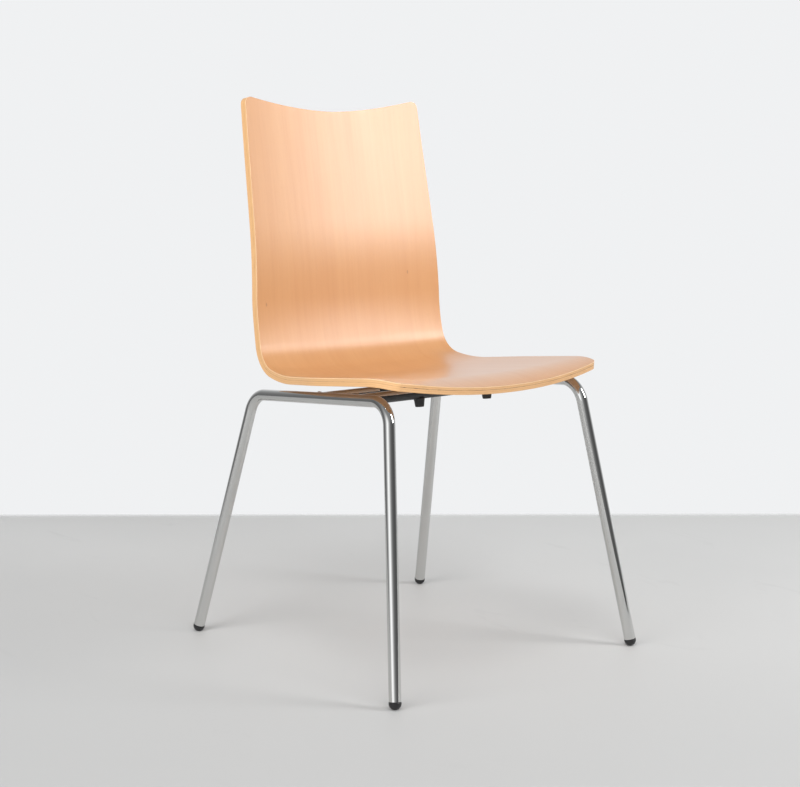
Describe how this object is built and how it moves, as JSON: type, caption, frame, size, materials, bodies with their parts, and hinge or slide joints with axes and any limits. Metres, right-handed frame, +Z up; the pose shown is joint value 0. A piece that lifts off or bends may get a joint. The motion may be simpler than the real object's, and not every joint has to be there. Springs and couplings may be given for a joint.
{
  "type": "stacking chair",
  "caption": "Stacking chair with a bent plywood shell, dished seat and flared back, on a bright plated tube frame with domed glides and stacking knobs.",
  "frame": {"origin": "on the floor, midway between the left and right glides and midway between the front and rear glides", "axes": "+Z is up; the sitter faces -Y; +X is the sitter's left"},
  "size_m": [0.5068, 0.5328, 0.87],
  "materials": {
    "face_veneer": "satin",
    "plywood": "satin",
    "plated_tube": "polished",
    "glide_plastic": "satin",
    "black_plastic": "matte",
    "fixing_steel": "bright zinc"
  },
  "bodies": {
    "root": {"front_face_veneer": "face_veneer", "plywood_core": "plywood", "back_face_veneer": "face_veneer", "left_side_frame": "plated_tube", "right_side_frame": "plated_tube", "front_cross_tube": "plated_tube", "rear_cross_tube": "plated_tube", "front_left_glide": "glide_plastic", "front_right_glide": "glide_plastic", "rear_left_glide": "glide_plastic", "rear_right_glide": "glide_plastic", "stacking_strip": "black_plastic", "left_stacking_knob": "black_plastic", "right_stacking_knob": "black_plastic", "front_left_spacer": "black_plastic", "front_right_spacer": "black_plastic", "rear_left_spacer": "black_plastic", "rear_right_spacer": "black_plastic", "front_seat_screws": "fixing_steel", "rear_seat_screws": "fixing_steel", "front_saddle_washers": "fixing_steel", "rear_saddle_washers": "fixing_steel", "threaded_inserts": "fixing_steel"}
  },
  "joints": []
}
